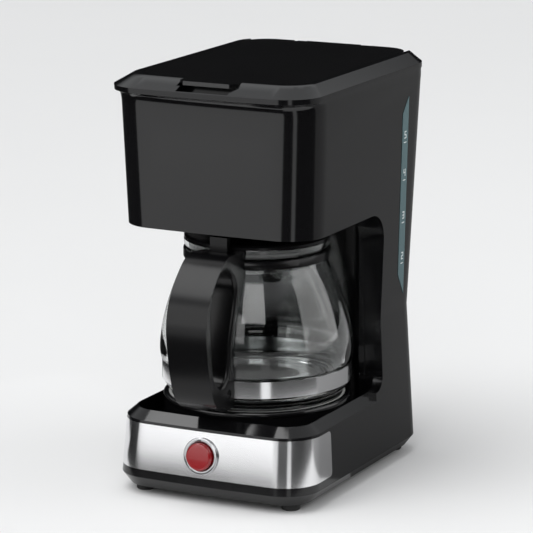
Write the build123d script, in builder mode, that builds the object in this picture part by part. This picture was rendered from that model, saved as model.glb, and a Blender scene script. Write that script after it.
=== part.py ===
"""Drip coffee maker: housing, tank, heater, brew head, sprung valve, switch and jug.

Millimetres. +Z is up and the front faces -Y. The sizes below are laid out from the ground under the middle of the
rim, and every part is saved moved back so that the origin is under the middle of the machine with its jug.
"""

import math
import os

from build123d import *

# Housing: plan size at the waist seam and how much each side leans outwards from there.
WAIST_Z = 102.4
MIDDLE_SHIFT = 10.175
WAIST_HALF = 65.1
WAIST_FRONT = 84.5
WAIST_BACK = 90.8
LEAN_SIDE_UP = 0.0361
LEAN_SIDE_DOWN = 0.0456
LEAN_FRONT_UP = 0.0323
LEAN_FRONT_DOWN = 0.122
LEAN_BACK = 0.0443
CORNER_FRONT = 24.0
CORNER_BACK = 24.0
FRONT_BOW = 2.2
BACK_BOW = 1.5
WALL = 2.5
HEAD_WALL = 2.7

# Heights of the housing's edges.
BASE_Z = 5.0
SKIRT_Z = 12.2
BAND_Z = 48.8
DECK_EDGE_Z = 54.3
TRAY_Z = 42.0
HEAD_BOTTOM_Z = 173.6
COVE_Z = 252.0
RIM_LOW_Z = 260.7
RIM_HIGH_Z = 264.0
TOP_Z = 270.0
BAND_INSET = 6.0
LIP_LAND = 0.7
SKIRT_INSET = 6.0

# Rim: plan size of its widest edge and of its flat top.
RIM_HALF = 71.0
RIM_FRONT = 98.3
RIM_BACK = 98.3
TOP_HALF = 62.5
TOP_FRONT = 82.7
TOP_BACK = 94.5

# Bay for the jug.
AXIS_Y = -20.5
BAY_BACK_Y = 29.5
BAY_LAND_X = 49.5
BAY_RADIUS = 71.0
BAY_TOP_ROUND = 20.0
BAY_FOOT_ROUND = 10.0
BAY_FRONT_Y = -150.0
STRIP_X = 57.0
STRIP_WIDTH = 7.5
STRIP_DEPTH = 0.9

# Lid of the tank and its hinge.
LID_HALF = 58.0
LID_FRONT = 78.0
LID_BACK = 93.6
LID_THICK = 3.2
LID_GAP = 0.4
LID_ROUND = 18.0
LEDGE = 3.4
HINGE_Y = 94.2
HINGE_Z = 267.0
HINGE_RADIUS = 3.0
HINGE_HALF = 19.5
HINGE_PIN_RADIUS = 1.2
TAB_HALF = 20.0
TAB_FRONT = 90.6
TAB_THICK = 2.6

# Steel panel and switch.
PANEL_LOW_Z = 17.5
PANEL_HIGH_Z = 47.0
PANEL_END_Y = -52.0
PANEL_THICK = 0.9
PANEL_ROUND = 3.0
SWITCH_X = -3.0
SWITCH_Z = 31.5
SWITCH_TILT = math.degrees(math.atan(LEAN_FRONT_DOWN))
BEZEL_RADIUS = 12.0
BUTTON_RADIUS = 8.9
BUTTON_OUT = 5.2
BUTTON_TRAVEL = 2.5

# Hot plate.
BOSS_RADIUS = 60.5
PLATE_RADIUS = 55.5
PLATE_Z = 59.0
COLLAR_LOW_Z = 54.7
COLLAR_HIGH_Z = 58.7
HEATER_RADIUS = 42.0
HEATER_TUBE = 4.0
HEATER_Z = 50.8

# Water tank and its gauge.
TANK_HALF = 60.0
TANK_FRONT_Y = 46.0
TANK_BACK_Y = 86.0
TANK_LOW_Z = 66.0
TANK_HIGH_Z = 236.0
TANK_WALL = 2.0
TANK_RADIUS = 76.0
TANK_OUTLET = (30.0, 70.0)
HOSE_RADIUS = 4.6
HOSE_BORE = 3.0
GAUGE_LEVELS = ((5, 214.5), (4, 189.2), (3, 160.6), (2, 133.1))

# Brew head.
DECK_Z = 236.0
DECK_THICK = 2.0
CHAMBER_RADIUS = 57.5
BASKET_RADIUS = 54.0
BASKET_LOW_Z = 184.0
BASKET_WALL = 1.8
VALVE_RADIUS = 3.0
VALVE_LOW_Z = 171.3

# Jug.
JUG_WALL = 2.0
JUG_BASE_Z = 59.35
HANDLE_HALF = 14.0
CLEAR = 0.3

os.makedirs("parts", exist_ok=True)


def save(part: Part, name: str) -> None:
    """Move a finished part into the frame with its origin under the whole machine's middle, label and write it."""
    placed = part.moved(Location((0, MIDDLE_SHIFT, 0)))
    placed.label = name
    export_step(placed, f"parts/{name}.step")


def plan_size(height: float) -> tuple[float, float, float]:
    """Half width, front reach and back reach of the outer wall at a height."""
    rise = height - WAIST_Z
    side = LEAN_SIDE_UP if rise > 0 else LEAN_SIDE_DOWN
    front = LEAN_FRONT_UP if rise > 0 else LEAN_FRONT_DOWN
    away = abs(rise)
    return WAIST_HALF + side * away, WAIST_FRONT + front * away, WAIST_BACK + LEAN_BACK * away


def outline(height: float, half: float, front: float, back: float, front_round: float, back_round: float):
    """Plan outline with a bowed front and back and four rounded corners."""
    with BuildSketch(Plane.XY.offset(height)) as plan:
        with BuildLine():
            ThreePointArc((-half, -front + FRONT_BOW), (0, -front), (half, -front + FRONT_BOW))
            Line((half, -front + FRONT_BOW), (half, back - BACK_BOW))
            ThreePointArc((half, back - BACK_BOW), (0, back), (-half, back - BACK_BOW))
            Line((-half, back - BACK_BOW), (-half, -front + FRONT_BOW))
        make_face()
        fillet(plan.vertices().group_by(Axis.Y)[0], radius=front_round)
        fillet(plan.vertices().group_by(Axis.Y)[-1], radius=back_round)
    return plan.sketch


def wall_outline(height: float, inset: float):
    """Outline of the housing wall at a height, moved inwards by inset."""
    half, front, back = plan_size(height)
    return outline(height, half - inset, front - inset, back - inset, CORNER_FRONT - inset, CORNER_BACK - inset)


def wall_loft(levels: list[tuple[float, float]]) -> Part:
    """Solid through wall outlines given as (height, inset)."""
    with BuildPart() as body:
        loft(sections=[wall_outline(height, inset) for height, inset in levels], ruled=True)
    return body.part


def block(low: tuple[float, float, float], high: tuple[float, float, float]) -> Part:
    """Box between two opposite corners."""
    with BuildPart() as body:
        with Locations(tuple((a + b) / 2 for a, b in zip(low, high))):
            Box(*(b - a for a, b in zip(low, high)))
    return body.part


def post(x: float, y: float, low: float, high: float, radius: float) -> Part:
    """Upright cylinder."""
    with BuildPart() as body:
        with Locations((x, y, (low + high) / 2)):
            Cylinder(radius, high - low)
    return body.part


def bar(low: float, high: float, y: float, z: float, radius: float) -> Part:
    """Cylinder along X between two positions."""
    with BuildPart() as body:
        with Locations(((low + high) / 2, y, z)):
            Cylinder(radius, high - low, rotation=(0, 90, 0))
    return body.part


def turned(points: list[tuple[float, float]], y: float = AXIS_Y) -> Part:
    """Closed (radius, height) polygon revolved about the upright axis through (0, y)."""
    with BuildPart() as body:
        with BuildSketch(Plane.XZ.offset(-y)):
            with BuildLine():
                Polyline(*points, close=True)
            make_face()
        revolve(axis=Axis((0, y, 0), (0, 0, 1)))
    return body.part


def rod(points: list[tuple[float, float, float]], radius: float, tangents=None) -> Part:
    """Round rod along a smooth path, leaving and arriving along tangents when they are given."""
    with BuildPart() as body:
        with BuildLine() as path:
            if tangents:
                Spline(*points, tangents=tangents)
            else:
                Spline(*points)
        with BuildSketch(Plane(origin=path.line @ 0, z_dir=path.line % 0)):
            Circle(radius)
        sweep()
    return body.part


def hose(points: list[tuple[float, float, float]], tangents: list[tuple[float, float, float]]) -> Part:
    """Hollow hose along a smooth path."""
    return rod(points, HOSE_RADIUS, tangents) - rod(points, HOSE_BORE, tangents)


def column_space(low: float, high: float) -> Part:
    """Room inside the column's walls between two heights."""
    with BuildPart() as body:
        add(wall_loft([(low, WALL), (high, WALL)]))
        add(block((-90, -150, low - 1), (90, BAY_BACK_Y + WALL, high + 1)), mode=Mode.SUBTRACT)
        add(post(0, AXIS_Y, low - 1, high + 1, BAY_RADIUS + WALL), mode=Mode.SUBTRACT)
    return body.part


def bay(low: float, high: float) -> Part:
    """Room for the jug: a slot across the whole width and a scoop in the column."""
    with BuildPart() as body:
        with BuildSketch(Plane.YZ):
            with BuildLine():
                Polyline(
                    (BAY_FRONT_Y, DECK_EDGE_Z),
                    (BAY_BACK_Y, DECK_EDGE_Z),
                    (BAY_BACK_Y, HEAD_BOTTOM_Z),
                    (BAY_FRONT_Y, HEAD_BOTTOM_Z),
                    close=True,
                )
            make_face()
        extrude(amount=90, both=True)
        foot_edge = body.edges().filter_by(Axis.X).group_by(Axis.Z)[0].sort_by(Axis.Y)[-1]
        fillet(foot_edge, radius=BAY_FOOT_ROUND)
        top_edge = body.edges().filter_by(Axis.X).group_by(Axis.Z)[-1].sort_by(Axis.Y)[-1]
        fillet(top_edge, radius=BAY_TOP_ROUND)
        add(scoop(TRAY_Z, HEAD_BOTTOM_Z))
        add(block((-200, -200, -10), (200, 200, low)), mode=Mode.SUBTRACT)
        add(block((-200, -200, high), (200, 200, 400)), mode=Mode.SUBTRACT)
    return body.part


def scoop(low: float, high: float) -> Part:
    """Part of an upright cylinder that hollows the column's front."""
    with BuildPart() as body:
        add(post(0, AXIS_Y, low, high, BAY_RADIUS))
        add(block((-BAY_LAND_X, 0, low), (BAY_LAND_X, 60, high)), mode=Mode.INTERSECT)
    return body.part


def panel_box(grow: float) -> Part:
    """Region of the steel panel, seen from the front, with rounded ends."""
    with BuildPart() as body:
        with BuildSketch(Plane.YZ):
            with Locations(((PANEL_END_Y - 150) / 2, (PANEL_LOW_Z + PANEL_HIGH_Z) / 2)):
                RectangleRounded(
                    150 + PANEL_END_Y + 2 * grow,
                    PANEL_HIGH_Z - PANEL_LOW_Z + 2 * grow,
                    PANEL_ROUND,
                )
        extrude(amount=90, both=True)
    return body.part


def panel_strip(outer: float, inner: float, grow: float) -> Part:
    """Layer of the front wall between two insets, cut to the steel panel's region."""
    low, high = PANEL_LOW_Z - 2, PANEL_HIGH_Z + 2
    with BuildPart() as body:
        add(wall_loft([(low, outer), (high, outer)]))
        add(wall_loft([(low, inner), (high, inner)]), mode=Mode.SUBTRACT)
        add(panel_box(grow), mode=Mode.INTERSECT)
    return body.part


SWITCH_Y = -plan_size(SWITCH_Z)[1]
SWITCH_PLANE = Plane(
    origin=(SWITCH_X, SWITCH_Y, SWITCH_Z),
    x_dir=(1, 0, 0),
    z_dir=(0, -math.cos(math.radians(SWITCH_TILT)), math.sin(math.radians(SWITCH_TILT))),
)


def switch_ring(outer: float, inner: float, near: float, far: float) -> Part:
    """Ring on the switch axis between two distances from the panel, outwards positive."""
    with BuildPart() as body:
        with BuildSketch(SWITCH_PLANE.offset(near)):
            Circle(outer)
            if inner:
                Circle(inner, mode=Mode.SUBTRACT)
        extrude(amount=far - near)
    return body.part


def tank_outline(height: float, inset: float):
    """Plan outline of the water tank at a height, moved inwards by inset."""
    half = TANK_HALF - inset
    front = TANK_FRONT_Y + inset
    back = TANK_BACK_Y - inset
    radius = TANK_RADIUS + inset
    reach = math.sqrt(radius**2 - (front - AXIS_Y) ** 2)
    with BuildSketch(Plane.XY.offset(height)) as plan:
        with BuildLine():
            Line((-half, front), (-reach, front))
            ThreePointArc((-reach, front), (0, AXIS_Y + radius), (reach, front))
            Line((reach, front), (half, front))
            Line((half, front), (half, back))
            Line((half, back), (-half, back))
            Line((-half, back), (-half, front))
        make_face()
        fillet(plan.vertices().group_by(Axis.Y)[-1], radius=18 - inset)
    return plan.sketch


def tank_block(low: float, high: float, inset: float) -> Part:
    """Solid with the tank's plan between two heights."""
    with BuildPart() as body:
        add(tank_outline(low, inset))
        extrude(amount=high - low)
    return body.part


def spring(foot: Plane, length: float, radius: float, wire: float, turns: float) -> Part:
    """Round-wire coil spring standing on a plane."""
    rise = length - 2 * wire
    start = foot.offset(wire).origin
    with BuildPart() as body:
        with BuildLine() as path:
            Helix(pitch=rise / turns, height=rise, radius=radius, center=start, direction=foot.z_dir)
        with BuildSketch(Plane(origin=path.line @ 0, z_dir=path.line % 0)):
            Circle(wire)
        sweep(is_frenet=True)
    return body.part


# ---------------------------------------------------------------- housing

PILLARS = ((-52, -62), (52, -62), (-42, 79), (42, 79))
PILLAR_RADIUS = 4.0
SCREW_RADIUS = 1.4
COVER_INSET = SKIRT_INSET + WALL + 0.4
COVER_TOP_Z = BASE_Z + 2.4
BUSH_X = -40.0
BUSH_Z = 26.0
BUSH_RADIUS = 5.0

with BuildPart() as lower_housing:
    add(wall_loft([(BASE_Z, SKIRT_INSET), (SKIRT_Z, 0), (BAND_Z, 0), (DECK_EDGE_Z, BAND_INSET)]))
    column = wall_loft([(BAND_Z, 0.0), (WAIST_Z, 0.0)]) - bay(BAND_Z - 1, WAIST_Z + 1)
    add(column - block((-90, -150, 0), (90, BAY_BACK_Y - BAY_FOOT_ROUND - 1, WAIST_Z + 1)))
    tray = wall_loft([(TRAY_Z, BAND_INSET + LIP_LAND), (DECK_EDGE_Z + 12, BAND_INSET + LIP_LAND)])
    add(tray - block((-90, BAY_BACK_Y, 0), (90, 150, 90)), mode=Mode.SUBTRACT)
    add(scoop(TRAY_Z, WAIST_Z + 1), mode=Mode.SUBTRACT)
    under = [(BASE_Z - 1, SKIRT_INSET + WALL), (SKIRT_Z, WALL), (TRAY_Z - WALL, WALL)]
    add(wall_loft(under), mode=Mode.SUBTRACT)
    add(column_space(TRAY_Z - WALL - 1, WAIST_Z + 1), mode=Mode.SUBTRACT)
    add(post(0, AXIS_Y, TRAY_Z - WALL, COLLAR_LOW_Z, BOSS_RADIUS))
    add(post(0, AXIS_Y, TRAY_Z - WALL - 1, COLLAR_LOW_Z + 1, PLATE_RADIUS + 1), mode=Mode.SUBTRACT)
    for x, y in PILLARS:
        add(post(x, y, COVER_TOP_Z, TRAY_Z - WALL, PILLAR_RADIUS))
        if y > 0:
            add(block((x - 1.5, y, SKIRT_Z), (x + 1.5, 92.2, TRAY_Z - WALL)))
        add(post(x, y, COVER_TOP_Z - 1, 24, SCREW_RADIUS), mode=Mode.SUBTRACT)
    add(panel_strip(-1.0, PANEL_THICK + 0.1, 0.15), mode=Mode.SUBTRACT)
    add(switch_ring(BEZEL_RADIUS - 1.4, 0, -28, 2), mode=Mode.SUBTRACT)
    for side in (-1, 1):
        add(
            block(
                (side * STRIP_X - STRIP_WIDTH / 2, BAY_BACK_Y - 1, 62),
                (side * STRIP_X + STRIP_WIDTH / 2, BAY_BACK_Y + STRIP_DEPTH, WAIST_Z + 1),
            ),
            mode=Mode.SUBTRACT,
        )
    with Locations(Location((BUSH_X, 92, BUSH_Z), (90, 0, 0))):
        Cylinder(BUSH_RADIUS, 20, mode=Mode.SUBTRACT)
save(lower_housing.part, "lower_housing")

GAUGE_PLANE = Plane(
    origin=(plan_size(178)[0], 58, 178),
    x_dir=(0, 1, 0),
    z_dir=(1, 0, -LEAN_SIDE_UP),
)
GAUGE_CORNERS = ((-3.8, -51.8), (-6.7, 56.0), (1.8, 66.4), (5.8, -66.2))
DECK_HOLE = CHAMBER_RADIUS
NECK_RADIUS = 29.6
RISER = (-55.0, 39.0)
RISER_RADIUS = 4.0


def gauge_slab(near: float, far: float) -> Part:
    """Slab with the gauge window's shape between two distances from the side wall."""
    with BuildPart() as body:
        with BuildSketch(GAUGE_PLANE.offset(near)):
            with BuildLine():
                Polyline(*GAUGE_CORNERS, close=True)
            make_face()
        extrude(amount=far - near)
    return body.part


def lid_outline(height: float, inset: float):
    """Outline of the lid panel at a height, moved inwards by inset."""
    return outline(
        height,
        LID_HALF - inset,
        LID_FRONT - inset,
        LID_BACK - inset,
        LID_ROUND - inset,
        LID_ROUND - inset,
    )


with BuildPart() as upper_housing:
    half, front, back = plan_size(COVE_Z)
    shell = [wall_outline(WAIST_Z, 0), wall_outline(COVE_Z, 0)]
    for height, reach in ((255.5, 0.5), (258.0, 1.8), (259.6, 4.0)):
        shell.append(outline(height, half + 0.2, front + reach, back + 0.2, CORNER_FRONT, CORNER_BACK))
    shell.append(outline(RIM_LOW_Z, RIM_HALF, RIM_FRONT - 0.6, RIM_BACK, CORNER_FRONT, CORNER_BACK))
    shell.append(outline(RIM_HIGH_Z, RIM_HALF, RIM_FRONT, RIM_BACK, CORNER_FRONT, CORNER_BACK))
    shell.append(outline(TOP_Z, TOP_HALF, TOP_FRONT, TOP_BACK, CORNER_FRONT - 7, CORNER_BACK - 5))
    loft(sections=shell, ruled=True)
    add(gauge_slab(-6, 3), mode=Mode.SUBTRACT)
    add(bay(WAIST_Z - 1, HEAD_BOTTOM_Z), mode=Mode.SUBTRACT)
    add(column_space(WAIST_Z - 1, HEAD_BOTTOM_Z + 5), mode=Mode.SUBTRACT)
    add(wall_loft([(HEAD_BOTTOM_Z + WALL, HEAD_WALL), (RIM_LOW_Z, HEAD_WALL)]), mode=Mode.SUBTRACT)
    with BuildSketch(Plane.XY.offset(RIM_LOW_Z - 1)):
        add(lid_outline(0, LEDGE - LID_GAP))
    extrude(amount=20, mode=Mode.SUBTRACT)
    with BuildSketch(Plane.XY.offset(TOP_Z - LID_THICK - LID_GAP)):
        add(lid_outline(0, -LID_GAP))
    extrude(amount=20, mode=Mode.SUBTRACT)
    ledge_z = TOP_Z - LID_THICK - LID_GAP
    add(block((-LID_HALF - LID_GAP, 70, ledge_z), (LID_HALF + LID_GAP, 110, TOP_Z + 1)), mode=Mode.SUBTRACT)
    add(
        block(
            (-HINGE_HALF - LID_GAP, HINGE_Y - HINGE_RADIUS - 0.6, HINGE_Z - HINGE_RADIUS - 0.5),
            (HINGE_HALF + LID_GAP, 110, TOP_Z + 1),
        ),
        mode=Mode.SUBTRACT,
    )
    pin_room = HINGE_PIN_RADIUS + 0.2
    add(
        block(
            (-HINGE_HALF - 9, HINGE_Y - pin_room, HINGE_Z - pin_room),
            (HINGE_HALF + 9, HINGE_Y + pin_room, TOP_Z + 1),
        ),
        mode=Mode.SUBTRACT,
    )
    add(block((-TAB_HALF - LID_GAP, -TAB_FRONT - LID_GAP, ledge_z), (TAB_HALF + LID_GAP, -70, TOP_Z + 1)),
        mode=Mode.SUBTRACT)
    add(block((-TAB_HALF + 2, -97.2, RIM_HIGH_Z - 1), (TAB_HALF - 2, -84, TOP_Z + 1)), mode=Mode.SUBTRACT)
    add(post(0, AXIS_Y, HEAD_BOTTOM_Z - 1, HEAD_BOTTOM_Z + WALL + 1, NECK_RADIUS), mode=Mode.SUBTRACT)
    for side in (-1, 1):
        add(
            block(
                (side * STRIP_X - STRIP_WIDTH / 2, BAY_BACK_Y - 1, WAIST_Z - 1),
                (side * STRIP_X + STRIP_WIDTH / 2, BAY_BACK_Y + STRIP_DEPTH, 150),
            ),
            mode=Mode.SUBTRACT,
        )
save(upper_housing.part, "upper_housing")

with BuildPart() as hinge_brackets:
    for side in (-1, 1):
        middle = side * (HINGE_HALF + 4.2)
        seat_z = TOP_Z - LID_THICK - LID_GAP
        add(block((middle - 3.5, HINGE_Y - 2.2, seat_z), (middle + 3.5, HINGE_Y + 2.2, HINGE_Z + 2.4)))
    pin_reach = HINGE_HALF + 12
    add(bar(-pin_reach, pin_reach, HINGE_Y, HINGE_Z, HINGE_PIN_RADIUS), mode=Mode.SUBTRACT)
save(hinge_brackets.part, "hinge_brackets")

with BuildPart() as bottom_cover:
    add(wall_loft([(BASE_Z, COVER_INSET), (COVER_TOP_Z, COVER_INSET)]))
    for x, y in PILLARS:
        add(post(x, y, BASE_Z - 1, BASE_Z + 1.6, 3.2), mode=Mode.SUBTRACT)
        add(post(x, y, BASE_Z - 1, COVER_TOP_Z + 1, SCREW_RADIUS), mode=Mode.SUBTRACT)
    with Locations((0, AXIS_Y, BASE_Z)):
        with GridLocations(0, 8, 1, 5):
            Box(46, 3, 12, mode=Mode.SUBTRACT)
save(bottom_cover.part, "bottom_cover")

with BuildPart() as housing_screws:
    for x, y in PILLARS:
        add(post(x, y, BASE_Z + 0.2, BASE_Z + 1.6, 3.0))
        add(post(x, y, BASE_Z + 1.6, 22, SCREW_RADIUS))
        with Locations((x, y, BASE_Z)):
            Box(4.2, 0.8, 1.6, mode=Mode.SUBTRACT)
            Box(0.8, 4.2, 1.6, mode=Mode.SUBTRACT)
save(housing_screws.part, "housing_screws")

FEET = ((-52, -77), (52, -77), (-53, 78), (53, 78))
with BuildPart() as feet:
    for x, y in FEET:
        with Locations((x, y, BASE_Z / 2)):
            Cylinder(5.8, BASE_Z)
    fillet(feet.edges().group_by(Axis.Z)[0], radius=0.8)
save(feet.part, "feet")

with BuildPart() as front_panel:
    add(panel_strip(-0.15, PANEL_THICK - 0.15, 0))
    add(switch_ring(BEZEL_RADIUS - 1.4, 0, -8, 2), mode=Mode.SUBTRACT)
save(front_panel.part, "front_panel")

with BuildPart() as cord_bush:
    with Locations(Location((BUSH_X, 0, BUSH_Z), (90, 0, 0))):
        with Locations((0, 0, -92.5)):
            Cylinder(BUSH_RADIUS - 0.1, 7)
        with Locations((0, 0, -95.5)):
            Cylinder(BUSH_RADIUS + 2.2, 1.4)
        with Locations((0, 0, -92)):
            Cylinder(3.0, 30, mode=Mode.SUBTRACT)
save(cord_bush.part, "cord_bush")

# ---------------------------------------------------------------- switch

with BuildPart() as switch_bezel:
    add(switch_ring(BEZEL_RADIUS, BUTTON_RADIUS + 0.35, 0.25, 1.9))
    add(switch_ring(BEZEL_RADIUS - 1.5, BUTTON_RADIUS + 0.35, -8, 0.3))
    outer_edge = switch_bezel.edges().filter_by(GeomType.CIRCLE).sort_by(Axis.Y)[0:2]
    fillet(outer_edge, radius=0.6)
save(switch_bezel.part, "switch_bezel")

with BuildPart() as power_button:
    add(switch_ring(BUTTON_RADIUS, 0, -6.5, BUTTON_OUT))
    fillet(power_button.edges().filter_by(GeomType.CIRCLE).sort_by(Axis.Y)[0], radius=1.6)
save(power_button.part, "power_button")

with BuildPart() as switch_body:
    add(switch_ring(BEZEL_RADIUS - 1.5, BUTTON_RADIUS + 0.35, -12, -8))
    add(switch_ring(BEZEL_RADIUS - 1.5, 0, -22, -12))
    with Locations(SWITCH_PLANE.offset(-25.5).location):
        with GridLocations(7, 0, 3, 1):
            Box(1, 4.5, 7)
save(switch_body.part, "switch_body")

with BuildPart() as button_spring:
    add(spring(SWITCH_PLANE.offset(-11.9), 2.5, 5.0, 0.4, 1.8))
save(button_spring.part, "button_spring")

# ---------------------------------------------------------------- hot plate and water path

with BuildPart() as plate_collar:
    add(
        turned(
            [
                (PLATE_RADIUS + 1.7, COLLAR_LOW_Z),
                (BOSS_RADIUS - 0.9, COLLAR_LOW_Z),
                (BOSS_RADIUS - 0.9, COLLAR_LOW_Z + 0.7),
                (BOSS_RADIUS + 0.3, COLLAR_LOW_Z + 0.7),
                (BOSS_RADIUS + 0.3, COLLAR_HIGH_Z - 1.2),
                (BOSS_RADIUS - 0.1, COLLAR_HIGH_Z - 0.35),
                (BOSS_RADIUS - 1.1, COLLAR_HIGH_Z),
                (PLATE_RADIUS + 1.7, COLLAR_HIGH_Z),
            ]
        )
    )
save(plate_collar.part, "plate_collar")

with BuildPart() as plate_seal:
    add(turned([(PLATE_RADIUS + 0.1, COLLAR_LOW_Z), (PLATE_RADIUS + 1.7, COLLAR_LOW_Z),
                (PLATE_RADIUS + 1.7, COLLAR_HIGH_Z - 0.3), (PLATE_RADIUS + 0.1, COLLAR_HIGH_Z - 0.3)]))
save(plate_seal.part, "plate_seal")

with BuildPart() as warming_plate:
    add(turned([(0, PLATE_Z - 2.4), (46, PLATE_Z - 2.4), (46, PLATE_Z - 2), (PLATE_RADIUS - 1.2, PLATE_Z - 2),
                (PLATE_RADIUS - 1.2, PLATE_Z - 6), (PLATE_RADIUS, PLATE_Z - 6), (PLATE_RADIUS, PLATE_Z - 0.6),
                (PLATE_RADIUS - 0.6, PLATE_Z), (49, PLATE_Z), (48, PLATE_Z - 0.4), (0, PLATE_Z - 0.4)]))
save(warming_plate.part, "warming_plate")

HEATER_TOP = PLATE_Z - 2.5
HEATER_MID = HEATER_TOP - HEATER_TUBE
HEATER_END_Y = AXIS_Y + math.sqrt(HEATER_RADIUS**2 - 18**2)
HEATER_END_Z = 41.0
with BuildPart() as heater_element:
    end_angle = math.degrees(math.atan2(HEATER_END_Y - AXIS_Y, 18))
    with BuildLine() as ring:
        CenterArc((0, AXIS_Y, HEATER_MID), HEATER_RADIUS, 180 - end_angle, 180 + 2 * end_angle)
    with BuildSketch(Plane(origin=ring.line @ 0, z_dir=ring.line % 0)):
        Circle(HEATER_TUBE)
    sweep()
    for side in (-1, 1):
        with Locations((side * 18, HEATER_END_Y, HEATER_MID)):
            Sphere(HEATER_TUBE)
        add(post(side * 18, HEATER_END_Y, HEATER_END_Z, HEATER_MID, HEATER_TUBE))
save(heater_element.part, "heater_element")

with BuildPart() as heater_bracket:
    add(block((-47, AXIS_Y - 5, HEATER_MID - HEATER_TUBE - 1.5), (47, AXIS_Y + 5, HEATER_MID - HEATER_TUBE - 0.1)))
save(heater_bracket.part, "heater_bracket")

with BuildPart() as thermostat:
    add(post(0, AXIS_Y, HEATER_MID - HEATER_TUBE - 0.1, PLATE_Z - 5, 5))
    add(post(0, AXIS_Y, PLATE_Z - 5, PLATE_Z - 2.4, 8))
save(thermostat.part, "thermostat")

with BuildPart() as thermal_fuse:
    with Locations((30, AXIS_Y, HEATER_MID - HEATER_TUBE - 3.2)):
        Cylinder(1.7, 11, rotation=(0, 90, 0))
        Cylinder(0.5, 19, rotation=(0, 90, 0))
save(thermal_fuse.part, "thermal_fuse")

with BuildPart() as water_tank:
    add(tank_block(TANK_LOW_Z, TANK_HIGH_Z, 0))
    add(tank_block(TANK_LOW_Z + TANK_WALL, TANK_HIGH_Z + 1, TANK_WALL), mode=Mode.SUBTRACT)
    add(post(*TANK_OUTLET, TANK_LOW_Z - 10, TANK_LOW_Z, 5))
    add(post(*TANK_OUTLET, TANK_LOW_Z - 11, TANK_LOW_Z + 5, 3), mode=Mode.SUBTRACT)
save(water_tank.part, "water_tank")

with BuildPart() as tank_strainer:
    low = TANK_LOW_Z + TANK_WALL
    add(post(*TANK_OUTLET, low, low + 9, 7))
    add(post(*TANK_OUTLET, low - 1, low + 8, 6.2), mode=Mode.SUBTRACT)
    with Locations((*TANK_OUTLET, low + 4.5)):
        with PolarLocations(0, 8):
            Box(20, 1.2, 5, mode=Mode.SUBTRACT)
save(tank_strainer.part, "tank_strainer")

with BuildPart() as inlet_hose:
    x, y = TANK_OUTLET
    low_end = (x, y - 16, 25)
    add(hose([(x, y, TANK_LOW_Z - 10), (x, y, 46), (x, y - 6, 32), low_end], [(0, 0, -1), (0, -1, 0)]))
    far_end = (18, HEATER_END_Y, HEATER_END_Z)
    add(hose([(x, y - 33, 25), (x - 4, y - 43, 25), (19, HEATER_END_Y + 1, 32), far_end], [(0, -1, 0), (0, 0, 1)]))
save(inlet_hose.part, "inlet_hose")

with BuildPart() as check_valve:
    x, y = TANK_OUTLET
    with Locations(Location((x, y - 24.5, 25), (90, 0, 0))):
        Cylinder(6, 16.6)
        Cylinder(2.5, 20, mode=Mode.SUBTRACT)
save(check_valve.part, "check_valve")

with BuildPart() as riser_hose:
    x, y = RISER
    near_end = (-18, HEATER_END_Y, HEATER_END_Z)
    bends = [(-19, HEATER_END_Y + 2, 31), (-34, 30, 24), (-50, 37, 32)]
    add(hose([near_end, *bends, (x, y, 66)], [(0, 0, -1), (0, 0, 1)]))
save(riser_hose.part, "riser_hose")

with BuildPart() as riser_tube:
    add(post(*RISER, 66, 249.5, RISER_RADIUS))
    add(post(*RISER, 65, 250, RISER_RADIUS - 1), mode=Mode.SUBTRACT)
save(riser_tube.part, "riser_tube")

with BuildPart() as hose_clamps:
    for x, y, z in ((*TANK_OUTLET, 52.5), (*RISER, 62)):
        with Locations((x, y, z)):
            Cylinder(HOSE_RADIUS + 1.3, 4)
            Cylinder(HOSE_RADIUS + 0.6, 6, mode=Mode.SUBTRACT)
            with Locations((HOSE_RADIUS + 2.4, 0, 0)):
                Box(3, 2, 4)
save(hose_clamps.part, "hose_clamps")

with BuildPart() as terminal_block:
    add(block((-44, 40, COVER_TOP_Z), (-26, 54, 19)))
    with Locations((-35, 47, 19)):
        with GridLocations(6, 7, 3, 2):
            Cylinder(1.8, 6, mode=Mode.SUBTRACT)
save(terminal_block.part, "terminal_block")

with BuildPart() as wiring:
    back_of_switch = SWITCH_PLANE.offset(-31).origin
    switch_x, switch_y, switch_z = back_of_switch
    add(rod([(-40, 39.6, 13), (-42, 20, 12), (-44, -30, 12), (-30, -58, 14), (switch_x - 7, switch_y, switch_z)], 1.1))
    add(rod([(-30, 39.6, 13), (-28, 28, 12), (-10, 0, 18), (8, -14, 36), (20, AXIS_Y, HEATER_MID - 7.2)], 1.1))
save(wiring.part, "wiring")

# ---------------------------------------------------------------- brew head

with BuildPart() as head_deck:
    with BuildSketch(Plane.XY.offset(DECK_Z)):
        half, front, back = plan_size(DECK_Z)
        add(outline(0, half - 2.8, front - 2.8, back - 2.8, CORNER_FRONT - 2.8, CORNER_BACK - 2.8))
        with Locations((0, AXIS_Y)):
            Circle(DECK_HOLE, mode=Mode.SUBTRACT)
        add(tank_outline(0, TANK_WALL), mode=Mode.SUBTRACT)
        with Locations(RISER):
            Circle(RISER_RADIUS + 0.3, mode=Mode.SUBTRACT)
    extrude(amount=DECK_THICK)
save(head_deck.part, "head_deck")

CHAMBER_LOW = HEAD_BOTTOM_Z + WALL
with BuildPart() as brew_chamber:
    add(turned([(13, CHAMBER_LOW), (CHAMBER_RADIUS - 6, CHAMBER_LOW), (CHAMBER_RADIUS + 1.6, CHAMBER_LOW + 6),
                (CHAMBER_RADIUS + 1.6, DECK_Z), (CHAMBER_RADIUS, DECK_Z), (CHAMBER_RADIUS, CHAMBER_LOW + 7),
                (CHAMBER_RADIUS - 6.5, CHAMBER_LOW + 1.8), (13, CHAMBER_LOW + 1.8)]))
save(brew_chamber.part, "brew_chamber")

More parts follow.
